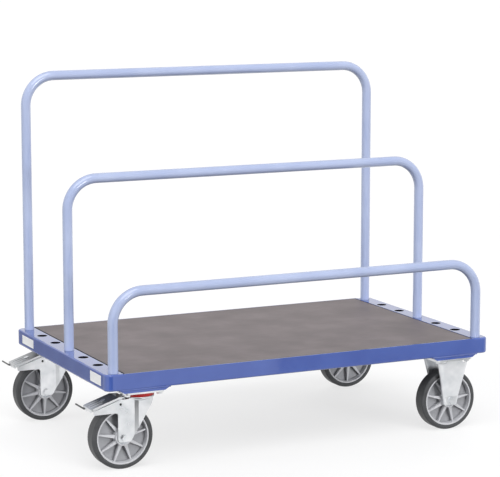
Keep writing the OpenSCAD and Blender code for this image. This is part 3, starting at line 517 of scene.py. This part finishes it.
# Welds: each pan's edges under the rail, and the ends of the bearers inside the side rails
PAN_HALF_LENGTH = 83 * MM
PAN_HALF_WIDTH = 58 * MM
SHEET = 4 * MM
WELD_BEAD = {"Pitch": 2.6 * MM, "Radius": 2.2 * MM}
rail_z = rail_low.z
weld_lines = []
for x, y in CASTERS:
    out_x, out_y = math.copysign(1, x), math.copysign(1, y)
    x_outer, x_inner = x + out_x * PAN_HALF_LENGTH, x - out_x * PAN_HALF_LENGTH
    y_outer, y_inner = y + out_y * PAN_HALF_WIDTH, y - out_y * PAN_HALF_WIDTH
    y_flange = out_y * rail_low.y
    weld_lines.append([(x - PAN_HALF_LENGTH, y_outer, rail_z),
                       (x + PAN_HALF_LENGTH, y_outer, rail_z)])
    weld_lines.append([(x_inner, y_outer, rail_z), (x_inner, y_inner, rail_z)])
    weld_lines.append([(x_outer, y_outer, rail_z), (x_outer, y_flange, rail_z)])
wall_y = rail_high.y - SHEET
bearer_low, bearer_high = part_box("middle_bearers")
end_low, end_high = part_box("fixed_end_bearers")
for x in (bearer_low.x, bearer_high.x, end_low.x, end_high.x, -end_low.x, -end_high.x):
    for y in (-wall_y, wall_y):
        weld_lines.append([(x, y, rail_z + SHEET), (x, y, bearer_high.z)])
grow("frame_welds", weld_growth(), [point for line in weld_lines for point in line],
     [(2 * i, 2 * i + 1) for i in range(len(weld_lines))], WELD_BEAD, "platform", "frame_paint")


# Floor, light and camera

def stage_mesh(name, form, material):
    """Links a mesh that belongs to the studio and not to the cart."""
    mesh = bpy.data.meshes.new(name)
    form.to_mesh(mesh)
    form.free()
    mesh.materials.append(material)
    piece = bpy.data.objects.new(name, mesh)
    scene.collection.objects.link(piece)
    return piece


def seen_directly(tree):
    """1 for rays from the camera, from mirrors and through glass."""
    path = add_node(tree, "ShaderNodeLightPath")
    mirrored = add_node(tree, "ShaderNodeMath",
                        {0: path.outputs["Is Camera Ray"], 1: path.outputs["Is Glossy Ray"]},
                        operation="MAXIMUM")
    return add_node(tree, "ShaderNodeMath",
                    {0: mirrored.outputs["Value"], 1: path.outputs["Is Transmission Ray"]},
                    operation="MAXIMUM").outputs["Value"]


def pale_floor(reach, glow, shadow_tint, bounce):
    """A white paper floor that takes a faint shadow and throws little light back up."""
    material, tree = blank_material("white_paper_floor")
    lit = add_node(tree, "ShaderNodeBsdfDiffuse", {"Color": linear(shadow_tint)})
    white = add_node(tree, "ShaderNodeEmission", {"Color": WHITE, "Strength": glow})
    look = add_node(tree, "ShaderNodeAddShader",
                    {0: lit.outputs["BSDF"], 1: white.outputs["Emission"]})
    dim = add_node(tree, "ShaderNodeBsdfDiffuse", {"Color": linear(bounce)})
    mix = add_node(tree, "ShaderNodeMixShader",
                   {"Fac": seen_directly(tree), 1: dim.outputs["BSDF"], 2: look.outputs["Shader"]})
    add_node(tree, "ShaderNodeOutputMaterial", {"Surface": mix.outputs["Shader"]})
    form = bmesh.new()
    bmesh.ops.create_grid(form, x_segments=1, y_segments=1, size=reach)
    stage_mesh("floor", form, material)


def reflection_card(name, start, end, height, shade):
    """An upright studio card on the floor that only mirror-like surfaces see."""
    material, tree = blank_material(name)
    matt = add_node(tree, "ShaderNodeBsdfDiffuse", {"Color": linear(shade)})
    add_node(tree, "ShaderNodeOutputMaterial", {"Surface": matt.outputs["BSDF"]})
    form = bmesh.new()
    corners = [(*start, 0.0), (*end, 0.0), (*end, height), (*start, height)]
    form.faces.new([form.verts.new(corner) for corner in corners])
    card = stage_mesh(name, form, material)
    card.visible_camera = card.visible_diffuse = False
    card.visible_shadow = card.visible_transmission = False


def studio_world(ambient):
    """Even soft light. Rays from the camera, mirrors and glass meet plain white."""
    world = bpy.data.worlds.new("studio")
    scene.world = world
    world.use_nodes = True
    tree = world.node_tree
    tree.nodes.clear()
    soft = add_node(tree, "ShaderNodeBackground", {"Color": WHITE, "Strength": ambient})
    white = add_node(tree, "ShaderNodeBackground", {"Color": WHITE, "Strength": 1.0})
    mix = add_node(tree, "ShaderNodeMixShader",
                   {"Fac": seen_directly(tree), 1: soft.outputs["Background"],
                    2: white.outputs["Background"]})
    add_node(tree, "ShaderNodeOutputWorld", {"Surface": mix.outputs["Shader"]})


def soft_sun(name, azimuth, elevation, strength, spread, mirrored=True):
    """A wide, even lamp from this direction, in degrees, azimuth from -Y towards +X."""
    lamp = bpy.data.lights.new(name, "SUN")
    lamp.energy = strength
    lamp.angle = math.radians(spread)
    holder = bpy.data.objects.new(name, lamp)
    holder.rotation_euler = (math.radians(90 - elevation), 0.0, math.radians(azimuth))
    holder.visible_glossy = mirrored
    scene.collection.objects.link(holder)


pale_floor(reach=120, glow=0.70, shadow_tint="#959595", bounce="#6C6C6C")
studio_world(ambient=0.38)

# Cards shape what the gloss shows: the first for the near rail's left part and the near fork, the
# second for the rail's right part, the third for the swivel end face, and the two low ones for
# the zinc of the near casters.
reflection_card("dark_front_card", (-1.05, -0.85), (-0.44, -1.10), height=0.45, shade="#1A1A1A")
reflection_card("right_front_card", (0.40, -1.40), (1.60, -1.00), height=0.30, shade="#F4F4F4")
reflection_card("grey_back_card", (-1.06, 0.30), (-1.06, 1.50), height=0.35, shade="#D4D4D4")
reflection_card("low_right_card", (0.70, -0.80), (1.15, -0.95), height=0.10, shade="#585858")
reflection_card("low_front_card", (-0.34, -0.80), (-0.20, -0.84), height=0.12, shade="#707070")

# The zinc mirrors only the key and the streak, so that the fills don't burn it out. The streak
# draws the white lines on the bends of the hoops.
soft_sun("key_light", azimuth=-20, elevation=58, strength=1.4, spread=45)
soft_sun("low_light", azimuth=20, elevation=9, strength=1.9, spread=25, mirrored=False)
soft_sun("left_light", azimuth=-90, elevation=10, strength=1.85, spread=40, mirrored=False)
soft_sun("streak_light", azimuth=14, elevation=3, strength=0.25, spread=6)
soft_sun("back_light", azimuth=150, elevation=20, strength=1.3, spread=60, mirrored=False)

# The camera comes from a fit to the platform, hoops and wheels, at 500 by 477 pixels.
CAMERA_PLACE = (-2.8906, -6.0122, 1.6521)
CAMERA_YAW = 25.673
CAMERA_PITCH = 8.784
SENSOR_WIDTH = 36.0
FOCAL_LENGTH = 147.43
# The view reaches past the far edge of the floor.
VIEW_REACH = 400.0
camera_lens = bpy.data.cameras.new("camera")
camera_lens.sensor_width = SENSOR_WIDTH
camera_lens.lens = FOCAL_LENGTH
camera_lens.clip_end = VIEW_REACH
camera = bpy.data.objects.new("camera", camera_lens)
camera.location = CAMERA_PLACE
camera.rotation_euler = (math.radians(90 - CAMERA_PITCH), 0.0, math.radians(-CAMERA_YAW))
scene.collection.objects.link(camera)
scene.camera = camera

scene.view_settings.view_transform = "Standard"
